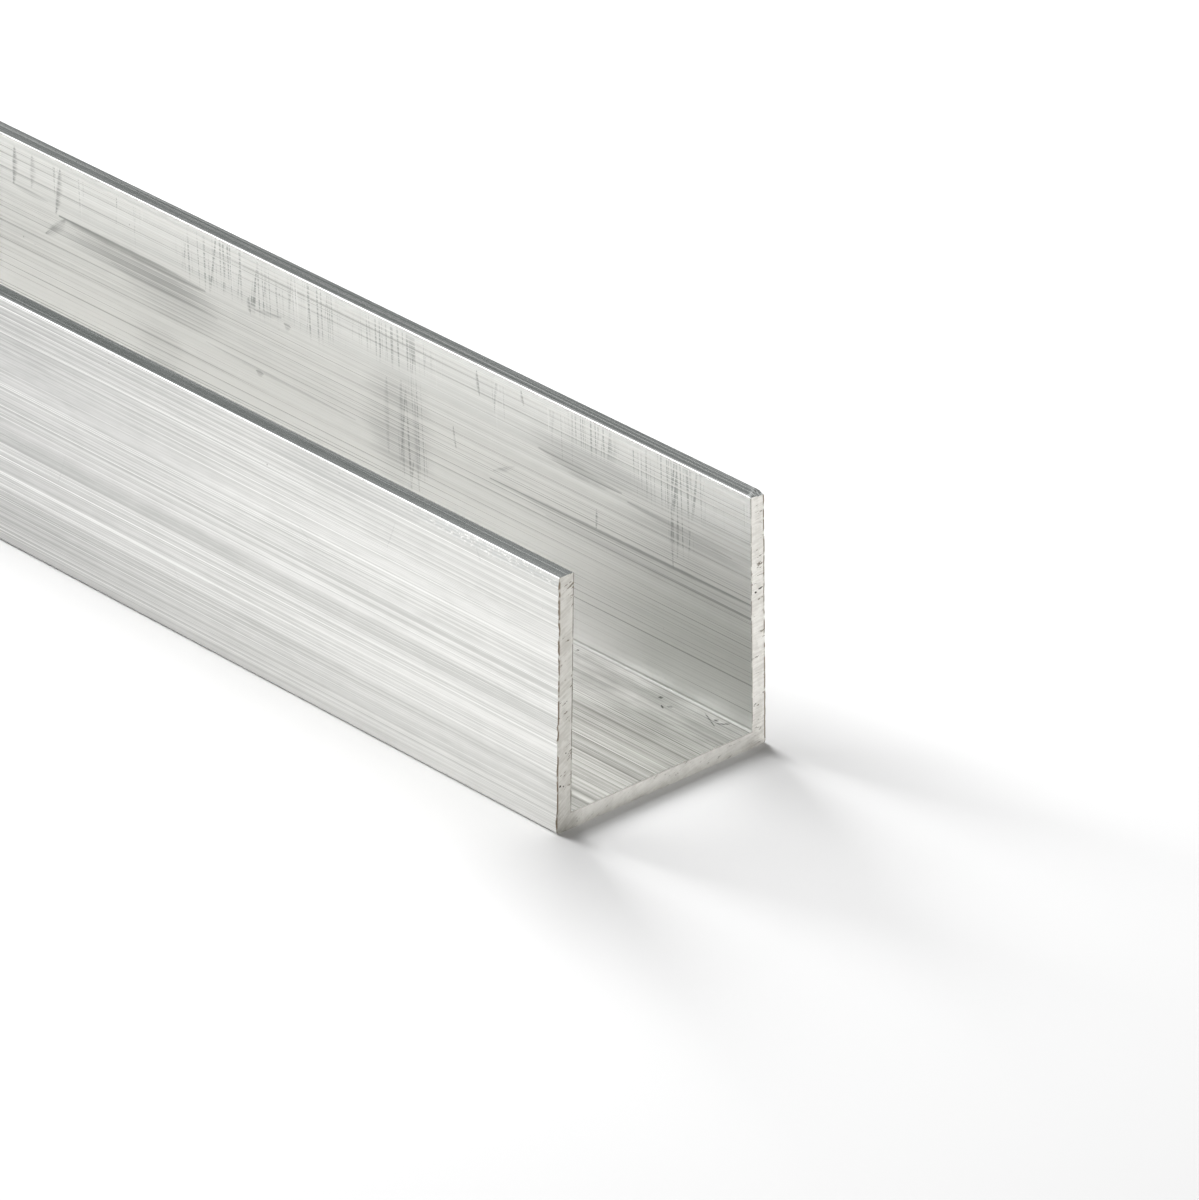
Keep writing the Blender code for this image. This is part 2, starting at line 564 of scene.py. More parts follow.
def smear_group():
    """One mark dragged from Start to End. Its upper edge is crisp, and it fades out below."""
    group = node_group(
        "smear",
        [
            ("Place", "Vector", None),
            ("Start", "Vector", None),
            ("End", "Vector", None),
            ("Width", "Float", 0.5),
            ("Ragged", "Float", 0.5),
        ],
        [("Smear", "Float")],
    )
    s = Sheet(group)
    given = s.given.outputs
    reach = s.vector("SUBTRACT", given["End"], given["Start"])
    offset = s.vector("SUBTRACT", given["Place"], given["Start"])
    along = s.vector("DOT_PRODUCT", offset, reach)
    share = s.math("DIVIDE", along, s.vector("DOT_PRODUCT", reach, reach), clamp=True)
    nearest = s.vector("SCALE", reach)
    s.join(share, nearest.node.inputs["Scale"])
    past = s.vector("SUBTRACT", offset, nearest)
    above = s.math("GREATER_THAN", s.add("ShaderNodeSeparateXYZ", Vector=past).outputs["Z"], 0.0)
    away = s.math("MULTIPLY", s.vector("LENGTH", past), s.math("MULTIPLY_ADD", above, 1.5, 1.0))
    thin_ends = s.math("MULTIPLY", s.math("MULTIPLY", share, s.math("SUBTRACT", 1.0, share)), 4.0)
    width = s.math("MULTIPLY", given["Width"], s.math("MULTIPLY_ADD", thin_ends, 0.75, 0.25))
    width = s.math("MULTIPLY", width, s.math("MULTIPLY_ADD", given["Ragged"], 2.6, 0.1))
    s.join(s.ramp(s.math("DIVIDE", away, width), 1.0, 0.0), s.result.inputs["Smear"])
    return group


def specks_group():
    """Small dark pits and specks, scattered thinly."""
    group = node_group(
        "specks",
        [("Place", "Vector", None), ("Spacing", "Float", 4.0), ("Size", "Float", 0.05)],
        [("Specks", "Float")],
    )
    s = Sheet(group)
    given = s.given.outputs
    scaled = s.vector("SCALE", given["Place"])
    s.join(s.math("DIVIDE", 1 / mm, given["Spacing"]), scaled.node.inputs["Scale"])
    cells = s.cells(scaled)
    chance = s.add("ShaderNodeSeparateColor", Color=cells["Color"]).outputs
    size = s.math("MULTIPLY", given["Size"], chance["Red"])
    dots = s.ramp(cells["Distance"], size, 0.0)
    kept = s.math("GREATER_THAN", chance["Green"], 0.45)
    s.join(s.math("MULTIPLY", dots, kept), s.result.inputs["Specks"])
    return group


def patch_group():
    """A soft patch round Middle, as big as Reach each way, with drifting edges."""
    group = node_group(
        "patch",
        [("Place", "Vector", None), ("Middle", "Vector", None), ("Reach", "Vector", None)],
        [("Patch", "Float")],
    )
    s = Sheet(group)
    given = s.given.outputs
    offset = s.vector("SUBTRACT", given["Place"], given["Middle"])
    away = s.vector("LENGTH", s.vector("DIVIDE", offset, given["Reach"]))
    drift_place = s.vector("MULTIPLY", given["Place"], (1 / (9 * mm), 1 / (2.5 * mm), 1 / (2.5 * mm)))
    drift = s.math("MULTIPLY_ADD", s.noise(drift_place, detail=3.0, roughness=0.6), 0.5, away)
    s.join(s.ramp(drift, 1.25, 0.6), s.result.inputs["Patch"])
    return group


def dull_band_group():
    """One dull band along the bar at a set height, with ragged edges."""
    group = node_group(
        "dull_band",
        [("Place", "Vector", None), ("Height", "Float", 0.0), ("Half Width", "Float", 0.0005)],
        [("Band", "Float")],
    )
    s = Sheet(group)
    given = s.given.outputs
    parts = s.add("ShaderNodeSeparateXYZ", Vector=given["Place"]).outputs
    wander = s.noise(s.vector("MULTIPLY", given["Place"], (25, 2500, 2500)), detail=2.0)
    off = s.math("ABSOLUTE", s.math("SUBTRACT", parts["Z"], given["Height"]))
    edge = s.math("MULTIPLY", given["Half Width"], s.math("MULTIPLY_ADD", wander, 0.8, 0.6))
    s.join(s.ramp(s.math("DIVIDE", off, edge), 1.1, 0.8), s.result.inputs["Band"])
    return group


die_lines = die_lines_group()
rub_strokes = rub_strokes_group()
smear = smear_group()
specks = specks_group()
patch = patch_group()
dull_band = dull_band_group()

# The tones and sizes of the lines and marks
bright_line_tone = (0.985, 0.985, 0.975, 1)
dark_line_tone = (0.40, 0.40, 0.39, 1)
fade_tone = (0.62, 0.62, 0.63, 1)
scratch_tone = (0.32, 0.33, 0.32, 1)
smear_tone = (0.36, 0.365, 0.36, 1)
dull_fleck_tone = (0.50, 0.52, 0.52, 1)
bare_fleck_tone = (0.94, 0.94, 0.93, 1)
# Painted shade for the corners along the foot of the trough
inner_corner_shade_tone = (0.5, 0.5, 0.49, 1)
speck_tone = (0.12, 0.11, 0.10, 1)
fade_length = 255 * mm
rub_top = 29.2 * mm
rub_hang = 4.6 * mm
speck_spacing_in_mm = 3.2
speck_size = 0.06
line_depth = 0.004 * mm


def drawn_aluminium(
    name,
    tone,
    dull_tone,
    roughness,
    bright_tone=bright_line_tone,
    dark_lines=0.4,
    bands=(),
    fades=0.0,
    clear_foot=0.0,
    rubs=0.0,
    hatched=(),
    marks=(),
    hazes=(),
    mark_tone=smear_tone,
    flecked=(),
    painted_shade=None,
):
    """Mill finish metal: tone in the clearest lines and dull_tone in the dullest.

    bright_tone is that of the fine bright lines and light scratches, and dark_lines is how dark the
    dark lines are. bands are dull bands along the bar, each (mm up, half width in mm, strength).
    fades is how much the finish dulls and clears again along the bar. clear_foot is how much cleaner
    the left leg and the foot of the right leg are. rubs is how much of the lips' side is scratched,
    and hatched are patches scratched all over, each (middle, reach). marks are smears, each (start,
    end, width, strength), and hazes are thin patches, each (middle, reach, strength), all in
    mark_tone. flecked are patches of dull and bare flecks, each (middle, reach). The last argument
    is a patch of painted shade, as (middle, reach, tone), and with it comes painted shade in the
    corners along the foot of the trough."""
    material = bpy.data.materials.new(name)
    material.use_nodes = True
    s = Sheet(material.node_tree)
    shader = material.node_tree.nodes["Principled BSDF"]
    place = s.add("ShaderNodeTexCoord").outputs["Object"]
    parts = s.add("ShaderNodeSeparateXYZ", Vector=place).outputs
    lines = s.place(die_lines, Place=place)
    dots = s.place(specks, Place=place, Spacing=speck_spacing_in_mm, Size=speck_size)["Specks"]

    def drawn_noise(along, across, detail, roughness):
        """Noise with this many bumps a metre along the bar and across it."""
        stretched = s.vector("MULTIPLY", place, (along, across, across))
        return s.noise(stretched, detail=detail, roughness=roughness)

    def covered(middle, reach):
        """Where one patch lies."""
        return s.place(patch, Place=place, Middle=middle, Reach=reach)["Patch"]

    clouds = s.ramp(drawn_noise(45, 200, 6.0, 0.66), 0.42, 0.68)
    mottle = s.ramp(drawn_noise(260, 1100, 4.0, 0.6), 0.3, 0.7, smooth=False)
    dullness = s.math("MULTIPLY_ADD", lines["Fine"], 0.75, s.math("MULTIPLY", lines["Tones"], 0.65))
    dullness = s.math("MULTIPLY_ADD", mottle, 0.2, dullness)
    dullness = s.math("MULTIPLY_ADD", clouds, 0.2, s.math("SUBTRACT", dullness, 0.34), clamp=True)
    if clear_foot:
        on_left_leg = s.math("LESS_THAN", parts["Y"], 0.0)
        clear = s.math("MAXIMUM", on_left_leg, s.ramp(parts["Z"], 19 * mm, 11 * mm))
        dullness = s.math("MULTIPLY_ADD", clear, -clear_foot, dullness, clamp=True)
    for height, half_width, strength in bands:
        band = s.place(dull_band, Place=place, Height=height * mm, Half_Width=half_width * mm)["Band"]
        dullness = s.math("MULTIPLY_ADD", band, strength, dullness, clamp=True)
    colour = s.blend(dullness, tone, dull_tone)
    if fades:
        turn = s.math("MULTIPLY", s.math("SUBTRACT", parts["X"], bar_end), 2 * pi / fade_length)
        faded = s.math("MULTIPLY_ADD", s.math("COSINE", turn), -0.5, 0.5)
        colour = s.blend(s.math("MULTIPLY", faded, fades), colour, fade_tone, "MULTIPLY")
    colour = s.blend(s.math("MULTIPLY", lines["Bright"], 0.6), colour, bright_tone)
    colour = s.blend(s.math("MULTIPLY", lines["Dark"], dark_lines), colour, dark_line_tone)

    rubbed = None
    if rubs:
        scratches = s.place(
            rub_strokes, Place=place, Amount=rubs, Ridges=lines["Fine"], Top=rub_top, Hang=rub_hang
        )
        rubbed = scratches["Strokes"]
        for middle, reach in hatched:
            hatch = s.math("MULTIPLY", covered(middle, reach), scratches["Hatch"])
            rubbed = s.math("MAXIMUM", rubbed, hatch)
        colour = s.blend(s.math("MULTIPLY", scratches["Light"], 0.7), colour, bright_tone)
        colour = s.blend(s.math("MULTIPLY", rubbed, 0.9), colour, scratch_tone)
    if marks:
        ragged = drawn_noise(120, 420, 5.0, 0.7)
        ridges = s.ramp(lines["Fine"], 0.3, 0.65, 0.35, 1.0)
        for start, end, width, strength in marks:
            mark = s.place(smear, Place=place, Start=start, End=end, Width=width, Ragged=ragged)["Smear"]
            mark = s.math("MULTIPLY", mark, s.math("MULTIPLY", ridges, strength))
            colour = s.blend(mark, colour, mark_tone)
    if hazes:
        valleys = s.ramp(lines["Fine"], 0.3, 0.7, 0.35, 1.0)
        for middle, reach, strength in hazes:
            haze = s.math("MULTIPLY", covered(middle, reach), s.math("MULTIPLY", valleys, strength))
            colour = s.blend(haze, colour, mark_tone)
    if flecked:
        fleck = drawn_noise(2000, 5000, 3.0, 0.7)
        dull_fleck, bare_fleck = s.ramp(fleck, 0.55, 0.40), s.ramp(fleck, 0.58, 0.64)
        for middle, reach in flecked:
            worn = covered(middle, reach)
            dulled = s.math("MULTIPLY", dull_fleck, s.math("MULTIPLY", worn, 0.5))
            colour = s.blend(dulled, colour, dull_fleck_tone)
            bared = s.math("MULTIPLY", bare_fleck, s.math("MULTIPLY", worn, 0.6))
            colour = s.blend(bared, colour, bare_fleck_tone)
    if painted_shade:
        # Painted shade: a darker patch over the trough, a little stronger along the dull lines
        middle, reach, painted_shade_tone = painted_shade
        varied_by_lines = s.ramp(lines["Fine"], 0.0, 1.0, 0.8, 1.0, smooth=False)
        shaded_patch = s.math("MULTIPLY", covered(middle, reach), varied_by_lines)
        colour = s.blend(shaded_patch, colour, painted_shade_tone, "MULTIPLY")
        # Painted shade in the corners along the foot of the trough
        from_corner = s.add(
            "ShaderNodeCombineXYZ",
            Y=s.math("SUBTRACT", s.math("ABSOLUTE", parts["Y"]), inner_leg_face(wall)),
            Z=s.math("SUBTRACT", parts["Z"], wall),
        ).outputs["Vector"]
        corner_shade = s.ramp(s.vector("LENGTH", from_corner), 0.48 * mm, 0.22 * mm)
        colour = s.blend(s.math("MULTIPLY", corner_shade, 0.75), colour, inner_corner_shade_tone, "MULTIPLY")
    colour = s.blend(s.math("MULTIPLY", dots, 0.8), colour, speck_tone)
    s.join(colour, shader.inputs["Base Color"])
    shader.inputs["Metallic"].default_value = 1.0

    rough = s.math("MULTIPLY_ADD", dullness, 0.14, roughness)
    if rubbed:
        rough = s.math("MULTIPLY_ADD", rubbed, 0.12, rough)
    s.join(rough, shader.inputs["Roughness"])
    height = s.math("MULTIPLY_ADD", lines["Fine"], 0.5, s.math("MULTIPLY", lines["Bright"], 0.6))
    height = s.math("MULTIPLY_ADD", lines["Dark"], -0.8, height)
    height = s.math("MULTIPLY_ADD", dots, -1.5, height)
    bump = s.add("ShaderNodeBump", Height=height, Strength=1.0, Distance=line_depth)
    s.join(bump.outputs["Normal"], shader.inputs["Normal"])
    return material


def on_leg(across, *marks):
    """Smears on one face of a leg, whose distance from the middle is across at each height.

    Each is (mm from the cut, mm up, mm from the cut and mm up at its end, width in mm, strength)."""
    placed = []
    for from_cut, up, to_cut, to_up, width, strength in marks:
        start = (bar_end - from_cut * mm, across(up * mm), up * mm)
        end = (bar_end - to_cut * mm, across(to_up * mm), to_up * mm)
        placed.append((start, end, width * mm, strength))
    return placed


# The outside of the bar
left_leg_marks = on_leg(
    lambda up: -outer_leg_face(up),
    (25.5, 26.8, 26.8, 23.4, 0.16, 0.6),
    (79.5, 14.6, 80.8, 11.0, 0.16, 0.6),
    (41.0, 20.8, 38.8, 19.2, 0.12, 0.45),
    (34.4, 29.4, 34.3, 29.2, 0.25, 0.9),
    (30.0, 17.4, 29.6, 17.0, 0.2, 0.5),
    (61.5, 8.2, 60.5, 6.5, 0.14, 0.35),
    (12.8, 28.6, 12.0, 27.2, 0.2, 0.5),
    (47.0, 28.6, 22.0, 28.5, 1.5, 0.35),
)
outside_bands = (
    (27.4, 3.1, 0.26),
    (25.7, 0.4, 0.15),
    (24.2, 0.12, 0.5),
    (16.8, 0.35, 0.3),
    (15.7, 0.2, 0.25),
    (13.2, 1.0, 0.25),
    (12.5, 0.12, 0.4),
    (11.2, 0.12, 0.4),
    (5.7, 0.6, 0.25),
    (4.2, 0.3, 0.2),
)
worn_edge = (bar_end - 10 * mm, -outer_leg_face(29 * mm), 29.2 * mm)
# Painted shade: the outside is given a darker tone than the inside of the trough
outside_metal = drawn_aluminium(
    "outside_faces",
    tone=(0.775, 0.773, 0.752, 1),
    dull_tone=(0.49, 0.492, 0.475, 1),
    roughness=0.30,
    bright_tone=(0.88, 0.88, 0.86, 1),
    dark_lines=0.5,
    bands=outside_bands,
    fades=0.9,
    marks=left_leg_marks,
    flecked=[(worn_edge, (18 * mm, 5 * mm, 0.9 * mm))],
)

# The two lips, painted darker than the rest of the metal as a painted dark reflection, and the
# chipped corner of one, painted near-black
chip_from = (bar_end - 1.4 * mm, 14.8 * mm, 30 * mm)
chip_to = (bar_end + 0.3 * mm, 12.4 * mm, 29.8 * mm)
lip_metal = drawn_aluminium(
    "lips",
    tone=(0.58, 0.60, 0.59, 1),
    dull_tone=(0.32, 0.335, 0.33, 1),
    roughness=0.13,
    bright_tone=(0.75, 0.76, 0.75, 1),
    marks=[(chip_from, chip_to, 1.0 * mm, 1.0)],
    mark_tone=(0.10, 0.105, 0.10, 1),
)


# The inside of the legs
def on_leg_inside(from_cut, up):
    """A place on the inside of the right leg, from its mm from the cut and mm up."""
    return (bar_end - from_cut * mm, inner_leg_face(up * mm), up * mm)


# A faint painted shade low on the inside of the right leg, near the cut
leg_shade_patch = ((bar_end - 4 * mm, 13 * mm, 7 * mm), (24 * mm, 6 * mm, 13 * mm), (0.97, 0.985, 0.97, 1))
leg_smears = on_leg(
    inner_leg_face,
    (113, 23.0, 88, 22.6, 0.8, 1.0),
    (110, 22.0, 92, 21.6, 1.2, 0.4),
    (104, 20.4, 86, 19.8, 0.9, 0.4),
    (115.5, 20.0, 112.0, 22.9, 0.8, 0.75),
    (120.6, 29.0, 121.0, 24.4, 0.7, 0.9),
    (117.5, 29.0, 117.8, 25.0, 0.8, 0.5),
    (112.6, 29.0, 113.6, 23.2, 0.7, 0.8),
    (121.0, 24.3, 115.0, 24.1, 0.5, 0.5),
    (57.6, 23.0, 57.5, 14, 0.6, 0.4),
    (55.2, 23.5, 55.0, 12, 0.6, 0.5),
    (53.0, 22.0, 52.6, 11, 0.5, 0.5),
    (80.5, 24.4, 80.2, 22.6, 0.5, 0.8),
    (79.5, 23.3, 75, 24.0, 0.5, 0.6),
    (74.5, 23.4, 73.5, 23.3, 0.7, 0.7),
    (88, 16.3, 63, 15.8, 0.35, 0.5),
    (79.5, 15.8, 78.4, 15.8, 0.6, 0.7),
    (33, 23.6, 20, 23.0, 0.75, 1.0),
    (19, 22.3, 3, 21.6, 0.7, 0.6),
    (41, 16.9, 0, 17.2, 0.55, 0.85),
    (32, 15.8, 0, 15.6, 0.45, 0.55),
    (40.5, 18.0, 37, 19.8, 0.4, 0.5),
    (12.2, 24.5, 12.0, 17.0, 0.3, 0.7),
    (11.3, 24.0, 11.4, 18.5, 0.25, 0.6),
    (24.0, 19.6, 24.1, 17.2, 0.3, 0.8),
    (46.8, 21.0, 46.4, 18.5, 0.3, 0.8),
    (42.8, 29.2, 42.4, 26.4, 0.35, 0.9),
    (35.7, 29.4, 35.3, 27.8, 0.35, 0.8),
)
leg_hazes = [
    (on_leg_inside(from_cut, up), (length * mm, 3 * mm, height * mm), strength)
    for from_cut, up, length, height, strength in (
        (100, 21.3, 17, 2.4, 0.50),
        (93, 19.0, 10, 3.4, 0.32),
        (96, 12.6, 6, 4.0, 0.30),
        (56, 17.5, 7, 9.5, 0.38),
        (25, 24.6, 13, 2.6, 0.44),
        (10, 21.2, 13, 4.8, 0.24),
        (18, 15.8, 26, 1.8, 0.12),
    )
]
hatched_patches = [
    (on_leg_inside(from_cut, up), (length * mm, 5 * mm, height * mm))
    for from_cut, up, length, height in (
        (88.5, 26.0, 5, 4),
        (84.0, 27.8, 5, 3.5),
        (78.5, 26.0, 6, 4),
        (69.7, 27.0, 6, 4.5),
        (56.5, 27.3, 8, 3.5),
        (53.5, 17.5, 3.2, 9),
        (24.5, 28.0, 5, 3),
        (12.0, 27.0, 8, 4.5),
        (10.8, 21.5, 2.5, 3.5),
    )
]
# Painted light: the inside of the legs is given the lightest tone of the bar
leg_inside_metal = drawn_aluminium(
    "legs_inside",
    tone=(0.995, 0.995, 0.98, 1),
    dull_tone=(0.79, 0.795, 0.78, 1),
    roughness=0.36,
    dark_lines=0.6,
    bands=((29.4, 0.25, 0.5), (27.0, 3.2, 0.24)),
    clear_foot=0.36,
    rubs=0.48,
    hatched=hatched_patches,
    marks=leg_smears,
    hazes=leg_hazes,
    painted_shade=leg_shade_patch,
)

# The web, with a few dark nicks along the right side of the trough
# Painted shade over the web near the cut, centred towards the left leg
web_shade_patch = ((bar_end - 1 * mm, -7 * mm, wall), (58 * mm, 30 * mm, 10 * mm), (0.33, 0.33, 0.315, 1))
web_marks = []
for from_cut, across, to_cut, to_across, width in (
    (4.5, 11.7, 4.4, 12.2, 0.33),
    (4.0, 11.4, 2.8, 12.3, 0.18),
    (3.3, 12.1, 2.9, 12.5, 0.3),
    (12.4, 11.2, 12.0, 11.0, 0.3),
    (10.3, 10.3, 9.7, 10.5, 0.24),
    (10.9, 10.0, 10.2, 9.6, 0.15),
    (26.2, 11.9, 26.0, 11.9, 0.36),
    (6.5, 12.2, 3.6, 10.9, 0.12),
):
    start = (bar_end - from_cut * mm, across * mm, wall)
    end = (bar_end - to_cut * mm, to_across * mm, wall)
    web_marks.append((start, end, width * mm, 1.0))
# Painted light: the inside of the web is given a lighter tone than the outside
web_inside_metal = drawn_aluminium(
    "web_inside",
    tone=(0.89, 0.885, 0.865, 1),
    dull_tone=(0.67, 0.665, 0.65, 1),
    roughness=0.36,
    dark_lines=0.65,
    marks=web_marks,
    mark_tone=(0.10, 0.10, 0.095, 1),
    painted_shade=web_shade_patch,
)

# The sawn ends: warm torn metal with dark cracks, dark rims and a few dirt specks. The middle of
# the web's end is painted paler as painted light, the left leg's end is darker, and the rim round
# the trough is painted shade of the burr.
sawn_tone = (0.74, 0.72, 0.675, 1)
light_sawn_tone = (0.90, 0.885, 0.845, 1)
middle_painted_light_tone = (0.96, 0.95, 0.91, 1)
left_leg_end_tone = (0.82, 0.82, 0.81, 1)
crack_tone = (0.17, 0.13, 0.09, 1)
dirt_tone = (0.05, 0.04, 0.03, 1)
outer_rim_tone = (0.20, 0.15, 0.10, 1)
burr_shade_tone = (0.20, 0.18, 0.15, 1)
sawn_depth = 0.018 * mm
dirt_specks = []
for across, up, to_across, to_up, width in (
    (-14.5, 5.7, -14.4, 5.5, 0.24),
    (-14.1, 5.4, -14.0, 5.5, 0.18),
    (-13.7, 9.3, -13.6, 9.2, 0.16),
    (13.2, 18.6, 13.5, 18.5, 0.2),
    (13.7, 18.8, 14.4, 18.9, 0.16),
):
    start = (bar_end, across * mm, up * mm)
    end = (bar_end, to_across * mm, to_up * mm)
    dirt_specks.append((start, end, width * mm))


def sawn_aluminium():
    """The metal of the two ends, with the arcs of the saw, smeared patches, dirt specks, and painted
    light and shade: a paler middle and shade along the burr.
    """
    material = bpy.data.materials.new("sawn_ends")
    material.use_nodes = True
    s = Sheet(material.node_tree)
    shader = material.node_tree.nodes["Principled BSDF"]
    place = s.add("ShaderNodeTexCoord").outputs["Object"]
    parts = s.add("ShaderNodeSeparateXYZ", Vector=place).outputs
    centre_y, centre_z = saw_centre[NEAR]
    y = s.math("SUBTRACT", parts["Y"], centre_y)
    z = s.math("SUBTRACT", parts["Z"], centre_z)
    radius = s.math("SQRT", s.math("ADD", s.math("MULTIPLY", y, y), s.math("MULTIPLY", z, z)))
    sweep = s.math("MULTIPLY", s.math("ARCTAN2", z, y), 60 * mm)

    def arcs(pitch, length, shift):
        """Scratches along the arcs of the saw, a pitch apart."""
        place_on_arc = s.add(
            "ShaderNodeCombineXYZ",
            X=s.math("MULTIPLY_ADD", radius, 1 / pitch, shift),
            Y=s.math("MULTIPLY", sweep, 1 / length),
            Z=s.math("MULTIPLY", parts["X"], 10.0),
        ).outputs["Vector"]
        return s.noise(place_on_arc, detail=3.0, roughness=0.6)

    def blotches(across, up, detail):
        """Noise with this many bumps a metre across the end and up it."""
        return s.noise(s.vector("MULTIPLY", place, (across, across, up)), detail=detail)

    teeth = arcs(0.26 * mm, 2.5 * mm, 0.0)
    scores = arcs(0.42 * mm, 1.9 * mm, 40.0)
    grain = blotches(3500, 3500, 3.0)
    smeared = s.ramp(blotches(700, 500, 3.0), 0.42, 0.58)
    rim_patches = s.ramp(blotches(900, 900, 2.0), 0.36, 0.52)
    leg_face = s.math("MULTIPLY_ADD", parts["Z"], -tan(leg_lean), section_half_width)
    from_middle = s.math("ABSOLUTE", parts["Y"])
    from_outside = s.math("SUBTRACT", leg_face, from_middle)
    from_inside = s.math("SUBTRACT", wall, s.math("MINIMUM", from_outside, parts["Z"]))

    tone = s.math("MULTIPLY_ADD", teeth, 0.6, s.math("MULTIPLY", grain, 0.3))
    tone = s.math("MULTIPLY_ADD", smeared, 0.1, tone)
    colour = s.blend(s.ramp(tone, 0.36, 0.62), sawn_tone, light_sawn_tone)
    # Painted light: the end of the web between the legs is painted paler, to lift the floor's shadow
    # that it mirrors
    painted_light_middle = s.ramp(from_middle, 14 * mm, 11 * mm, 0.0, 0.5)
    colour = s.blend(painted_light_middle, colour, middle_painted_light_tone)
    # Darker over the end of the left leg
    left_leg_darkening = s.ramp(parts["Y"], -11 * mm, -13 * mm)
    colour = s.blend(left_leg_darkening, colour, left_leg_end_tone, "MULTIPLY")
    cracks = s.math("MULTIPLY", s.ramp(scores, 0.62, 0.65), s.ramp(grain, 0.40, 0.54))
    cracks = s.math("MULTIPLY", cracks, s.ramp(parts["Z"], 1.5 * mm, 3.5 * mm, 0.35, 1.0))
    colour = s.blend(s.math("MULTIPLY", cracks, 0.9), colour, crack_tone)
    for start, end, width in dirt_specks:
        speck = s.place(smear, Place=place, Start=start, End=end, Width=width, Ragged=grain)["Smear"]
        speck = s.math("MULTIPLY", s.ramp(speck, 0.2, 0.5), 0.95)
        colour = s.blend(speck, colour, dirt_tone)
    # A dark brown line round the outside edges of the end, in patches
    outer_rim = s.math("MULTIPLY", s.ramp(from_outside, 0.26 * mm, 0.12 * mm), rim_patches)
    colour = s.blend(s.math("MULTIPLY", outer_rim, 0.9), colour, outer_rim_tone)
    # Painted shade of the burr: a broken dark line round the inside of the trough, fainter along the top
    # of the web
    burr_shade_breaks = s.ramp(rim_patches, 0.0, 0.4, 0.4, 1.0)
    burr_shade = s.math("MULTIPLY", s.ramp(from_inside, 0.17 * mm, 0.06 * mm), burr_shade_breaks)
    burr_shade = s.math("MULTIPLY", burr_shade, s.ramp(parts["Z"], 2.5 * mm, 4 * mm, 0.35, 1.0))
    colour = s.blend(s.math("MULTIPLY", burr_shade, 0.8), colour, burr_shade_tone)
    s.join(colour, shader.inputs["Base Color"])
    shader.inputs["Metallic"].default_value = 1.0
    s.join(s.ramp(grain, 0.3, 0.7, 0.5, 0.68), shader.inputs["Roughness"])

    height = s.math("MULTIPLY_ADD", teeth, 0.8, s.math("MULTIPLY", grain, 0.35))
    height = s.math("MULTIPLY_ADD", cracks, -0.6, height)
    height = s.math("MULTIPLY_ADD", smeared, 0.3, height)
    bump = s.add("ShaderNodeBump", Height=height, Strength=1.0, Distance=sawn_depth)
    s.join(bump.outputs["Normal"], shader.inputs["Normal"])
    return material


sawn_metal = sawn_aluminium()
for metal in (outside_metal, lip_metal, leg_inside_metal, web_inside_metal, sawn_metal):
    bar_mesh.materials.append(metal)

# The floor under the channel
# A plain white sweep, level and matt. It shows white to the camera, and darkens only where the bar
# keeps the light off it.

floor_half_size = 15.0
floor_tone = (0.82, 0.82, 0.82, 1)
floor_lift = 0.03


def flat_card(name, half_width, half_height):
    """A flat rectangle, facing up."""
    corners = [(-half_width, -half_height, 0), (half_width, -half_height, 0)]
    corners += [(half_width, half_height, 0), (-half_width, half_height, 0)]
    mesh = bpy.data.meshes.new(name)
    mesh.from_pydata(corners, [], [(0, 1, 2, 3)])
    card = bpy.data.objects.new(name, mesh)
    bpy.context.scene.collection.objects.link(card)
    return card


floor = flat_card("floor", floor_half_size, floor_half_size)
floor_paint = bpy.data.materials.new("floor_white")
floor_paint.use_nodes = True
s = Sheet(floor_paint.node_tree)
nodes = floor_paint.node_tree.nodes
nodes.remove(nodes["Principled BSDF"])
lift = s.math("MULTIPLY", s.seen(), floor_lift)
matt = s.add("ShaderNodeBsdfDiffuse", Color=floor_tone)
glow = s.add("ShaderNodeEmission", Color=(1, 1, 1, 1), Strength=lift)
together = s.add("ShaderNodeAddShader")
s.join(matt.outputs[0], together.inputs[0])
s.join(glow.outputs[0], together.inputs[1])
s.join(together.outputs[0], nodes["Material Output"].inputs["Surface"])
floor.data.materials.append(floor_paint)

# The light
# A white studio: an even white surround, one broad soft lamp on the left of the picture for the
# metal, two soft lamps behind the bar that light the floor, and a dark card that the lips mirror.

surround_light = 0.03
surround_seen = 1.0

world = bpy.data.worlds.new("white_surround")
bpy.context.scene.world = world
world.use_nodes = True
s = Sheet(world.node_tree)
surround = world.node_tree.nodes["Background"].inputs
surround["Color"].default_value = (1, 1, 1, 1)
strength = s.ramp(s.seen(), 0.0, 1.0, surround_light, surround_seen, smooth=False)
s.join(strength, surround["Strength"])

near_end = Vector((bar_end, 0, 10 * mm))


def aim(thing, target):
    """Turns a lamp, card or camera to face a point."""
    thing.rotation_euler = (target - thing.location).to_track_quat("-Z", "Y").to_euler()


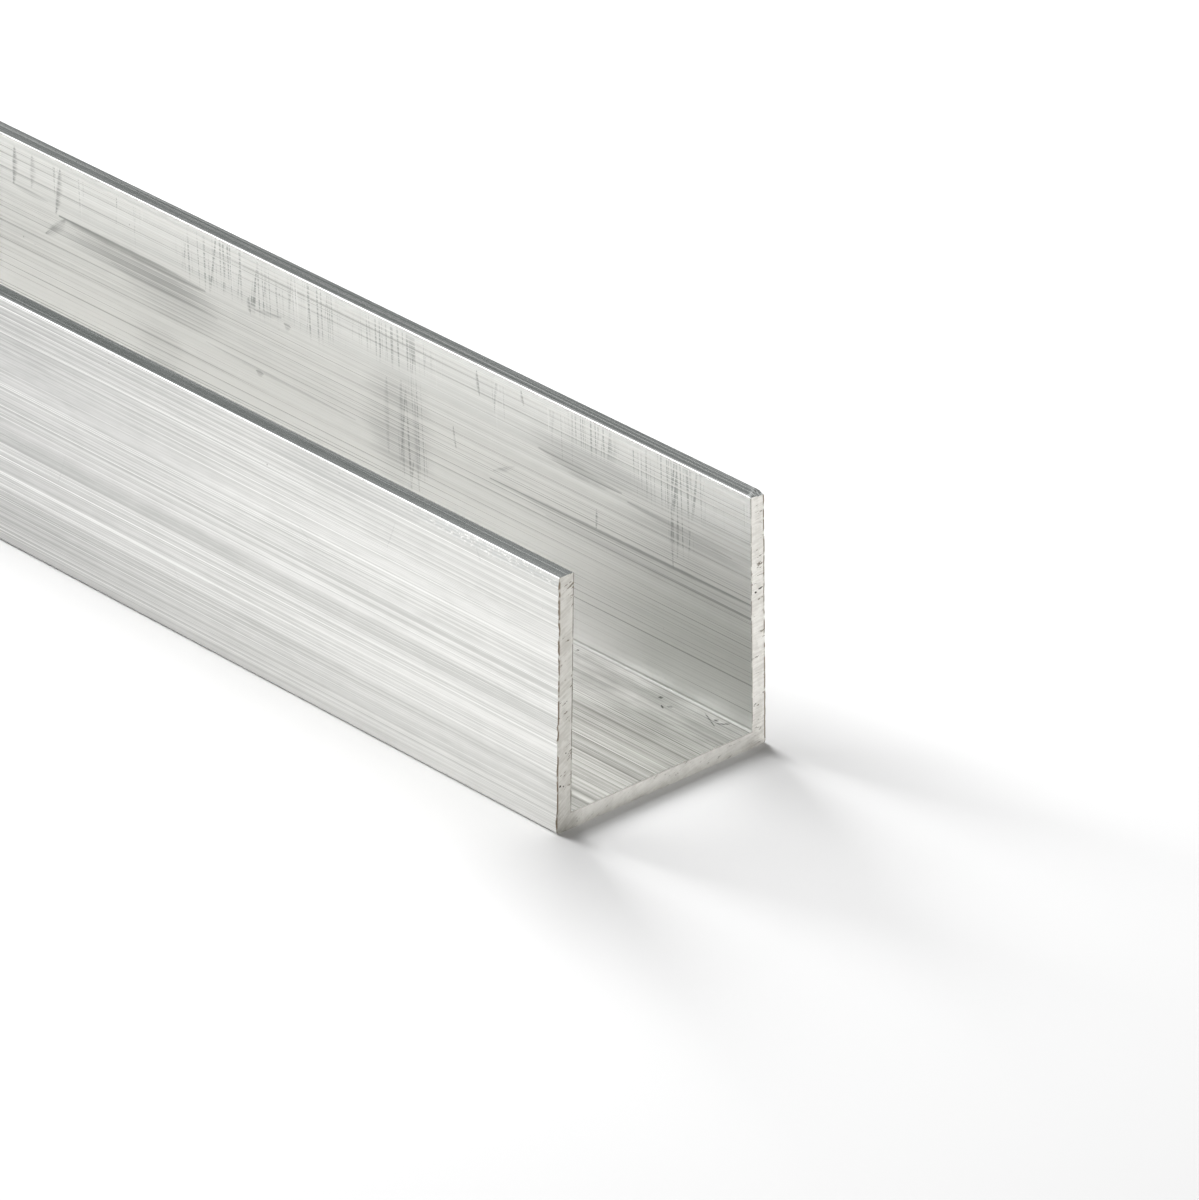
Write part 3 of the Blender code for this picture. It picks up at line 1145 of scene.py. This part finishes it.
def soft_lamp(name, offset, width, height, watts):
    """A rectangular soft box that faces the sawn end."""
    data = bpy.data.lights.new(name, "AREA")
    data.shape = "RECTANGLE"
    data.size = width
    data.size_y = height
    data.energy = watts
    lamp = bpy.data.objects.new(name, data)
    lamp.location = near_end + Vector(offset)
    aim(lamp, near_end)
    bpy.context.scene.collection.objects.link(lamp)
    return lamp


side_lamp = soft_lamp("side_lamp", (-0.6, -1.05, 0.5), 1.4, 0.8, 20.8)
side_lamp.visible_diffuse = False
back_lamp = soft_lamp("back_lamp", (-1.015, 0.05, 0.63), 0.8, 0.5, 23.5)
back_lamp.visible_glossy = False
high_lamp = soft_lamp("high_lamp", (-0.7, 0.03, 0.9), 1.1, 0.4, 8.5)
high_lamp.visible_glossy = False

# The dark card, which only the bright metal sees
card_place = (-0.66, 0.54, 0.415)
card_half_width, card_half_height = 0.135, 0.08
card_shade = (0.17, 0.18, 0.175, 1)

dark_card = flat_card("dark_card", card_half_width, card_half_height)
dark_card.location = near_end + Vector(card_place)
aim(dark_card, near_end)
card_paint = bpy.data.materials.new("dark_card")
card_paint.use_nodes = True
s = Sheet(card_paint.node_tree)
nodes = card_paint.node_tree.nodes
nodes.remove(nodes["Principled BSDF"])
glow = s.add("ShaderNodeEmission", Color=card_shade, Strength=1.0)
s.join(glow.outputs[0], nodes["Material Output"].inputs["Surface"])
dark_card.data.materials.append(card_paint)
dark_card.visible_camera = False
dark_card.visible_diffuse = False

# The camera
# A long lens, as for a catalogue picture. It stands off the sawn end, well above the bar and to its
# left, so that the picture shows the end, the outside of the left leg and the inside of the right.

camera_place = (1.165285, -0.620286, 0.498250)
camera_target = Vector((0.48879, 0.00136, 0.01754))
lens_in_mm = 296.1
sensor_width_in_mm = 36.0

camera_data = bpy.data.cameras.new("camera")
camera_data.lens = lens_in_mm
camera_data.sensor_width = sensor_width_in_mm
camera = bpy.data.objects.new("camera", camera_data)
camera.location = camera_place
aim(camera, camera_target)
bpy.context.scene.collection.objects.link(camera)
bpy.context.scene.camera = camera
bpy.context.scene.view_settings.view_transform = "Standard"
